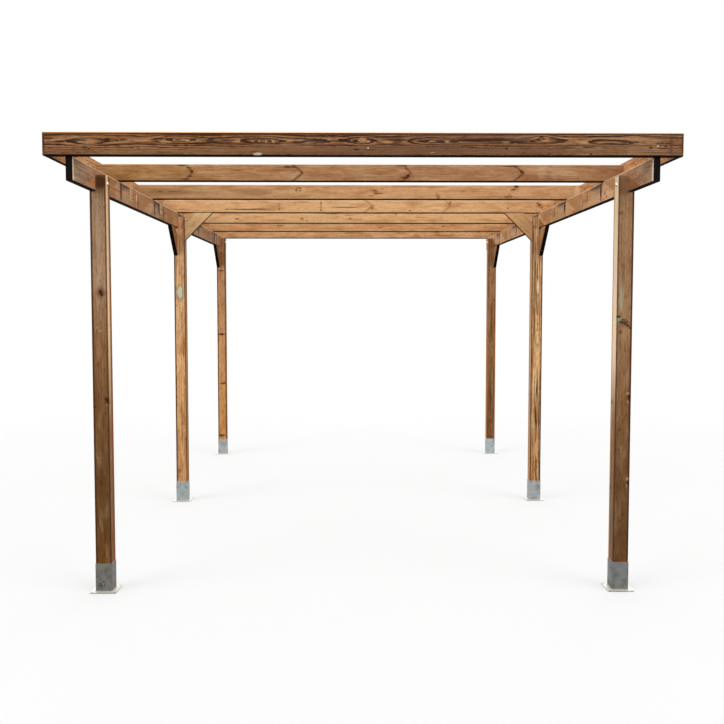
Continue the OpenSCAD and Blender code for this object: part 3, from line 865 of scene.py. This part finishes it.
s = screwSettings
for row in rows:
    for side, sign in sides.items():
        post = f"{row}_{side}"
        low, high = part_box("post_" + post)
        middle = (low + high) / 2
        inner = low.x if sign > 0 else high.x
        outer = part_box(f"side_beam_{side}")[sign > 0].x
        z = boltSettings["heights"][row]
        carriageBolt("bolt_" + post, Vector((inner, middle.y, z)), Vector((outer, middle.y, z)))
        weldBead("weld_" + post, middle)
        reach = (weldSettings["halfMm"] - s["sunkMm"]) * mm
        screws("shoe_screws_" + post, [
            (Vector((middle.x + way * reach, middle.y, height * mm)), (way, 0, 0))
            for height in s["shoeHeights"] for way in (-1, 1)])
print("bolts, welds and shoe screws made")

for side, sign in sides.items():
    # two screws up through each end of a brace
    low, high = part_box(f"cross_brace_{side}")
    foot, tip = (high.x, low.x) if sign > 0 else (low.x, high.x)
    screws(f"cross_brace_screws_{side}", [
        (Vector((foot + (tip - foot) * share, (low.y + high.y) / 2, low.z + (high.z - low.z) * share)),
         (-sign, 0, -1)) for share in s["braceShares"]])
    for row in ("mid", "rear"):
        low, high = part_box(f"long_brace_{row}_{side}")
        screws(f"long_brace_screws_{row}_{side}", [
            (Vector(((low.x + high.x) / 2, high.y + (low.y - high.y) * share,
                     low.z + (high.z - low.z) * share)), (0, -1, -1)) for share in s["braceShares"]])
    # and two through the side board into the end of every rafter
    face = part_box(f"side_board_{side}")[sign > 0].x - sign * s["sunkMm"] * mm
    heads = []
    for rafter in rafters:
        low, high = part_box(rafter)
        heads += [(Vector((face, (low.y + high.y) / 2, low.z + (high.z - low.z) * share)), (sign, 0, 0))
                  for share in s["boardShares"]]
    screws(f"board_screws_{side}", heads)
print("brace and board screws made")


# The floor looks pale and keeps the shadow, but throws little light back up, so that the
# undersides stay as dark as they are over bare ground; far off it turns into the white backdrop
floorSettings = {"size": 120.0, "tone": "#f6f6f6", "throwsBack": "#4a4a48", "glow": 0.45,
                 "fadeFrom": 4.0, "fadeTo": 9.0}
floorMaterial, t = newTree("paleStudioFloor")
s = floorSettings
seen = seenByEye(t)
far = addNode(t, "VectorMath", (addNode(t, "TexCoord", out="Object"),), out="Value", operation="LENGTH")
fade = addNode(t, "MapRange", (far, s["fadeFrom"], s["fadeTo"], s["glow"], 1.0),
               interpolation_type="SMOOTHSTEP")
pale = addNode(t, "MixShader", (
    fade, addNode(t, "BsdfDiffuse", {"Color": toLinear(s["tone"])}),
    addNode(t, "Emission", {"Color": (1, 1, 1, 1), "Strength": 1.0})))
dim = addNode(t, "BsdfDiffuse", {"Color": toLinear(s["throwsBack"])})
surface = addNode(t, "MixShader", (seen, dim, pale))
clear = addNode(t, "MixShader", (addNode(t, "NewGeometry", out="Backfacing"), surface,
                                 addNode(t, "BsdfTransparent")))
addNode(t, "OutputMaterial", (clear,), out=None)
bm = bmesh.new()
bmesh.ops.create_grid(bm, x_segments=2, y_segments=2, size=s["size"] / 2)
floorMesh = bpy.data.meshes.new("floor")
bm.to_mesh(floorMesh)
bm.free()
floorMesh.materials.append(floorMaterial)
floor = bpy.data.objects.new("floor", floorMesh)
floor.location.z = -0.5 * mm
scene.collection.objects.link(floor)

# A white surround to the eye, and an even soft light to the object
worldSettings = {"light": 0.75}
world = bpy.data.worlds.new("studio")
scene.world = world
world.use_nodes = True
t = world.node_tree
t.nodes.clear()
power = addNode(t, "MapRange", (seenByEye(t), 0.0, 1.0, worldSettings["light"], 1.0))
addNode(t, "OutputWorld", (addNode(t, "Background", {"Color": (1, 1, 1, 1), "Strength": power}),), out=None)

# Broad lamps so far off that they light the whole depth alike: which way, strength, spread
lamps = {"softLeft": ((-1.5, -1.0, 0.38), 1.95, 50), "softRight": ((1.5, -1.0, 0.38), 1.8, 55),
         "softBack": ((0.1, 1.0, 0.4), 0.6, 60)}
for name, (way, strength, spread) in lamps.items():
    light = bpy.data.lights.new(name, "SUN")
    light.energy = strength
    light.angle = math.radians(spread)
    lamp = bpy.data.objects.new(name, light)
    lamp.location = Vector(way) * 10
    lamp.rotation_euler = Vector(way).to_track_quat("Z", "Y").to_euler()
    scene.collection.objects.link(lamp)
print("floor and lights set")
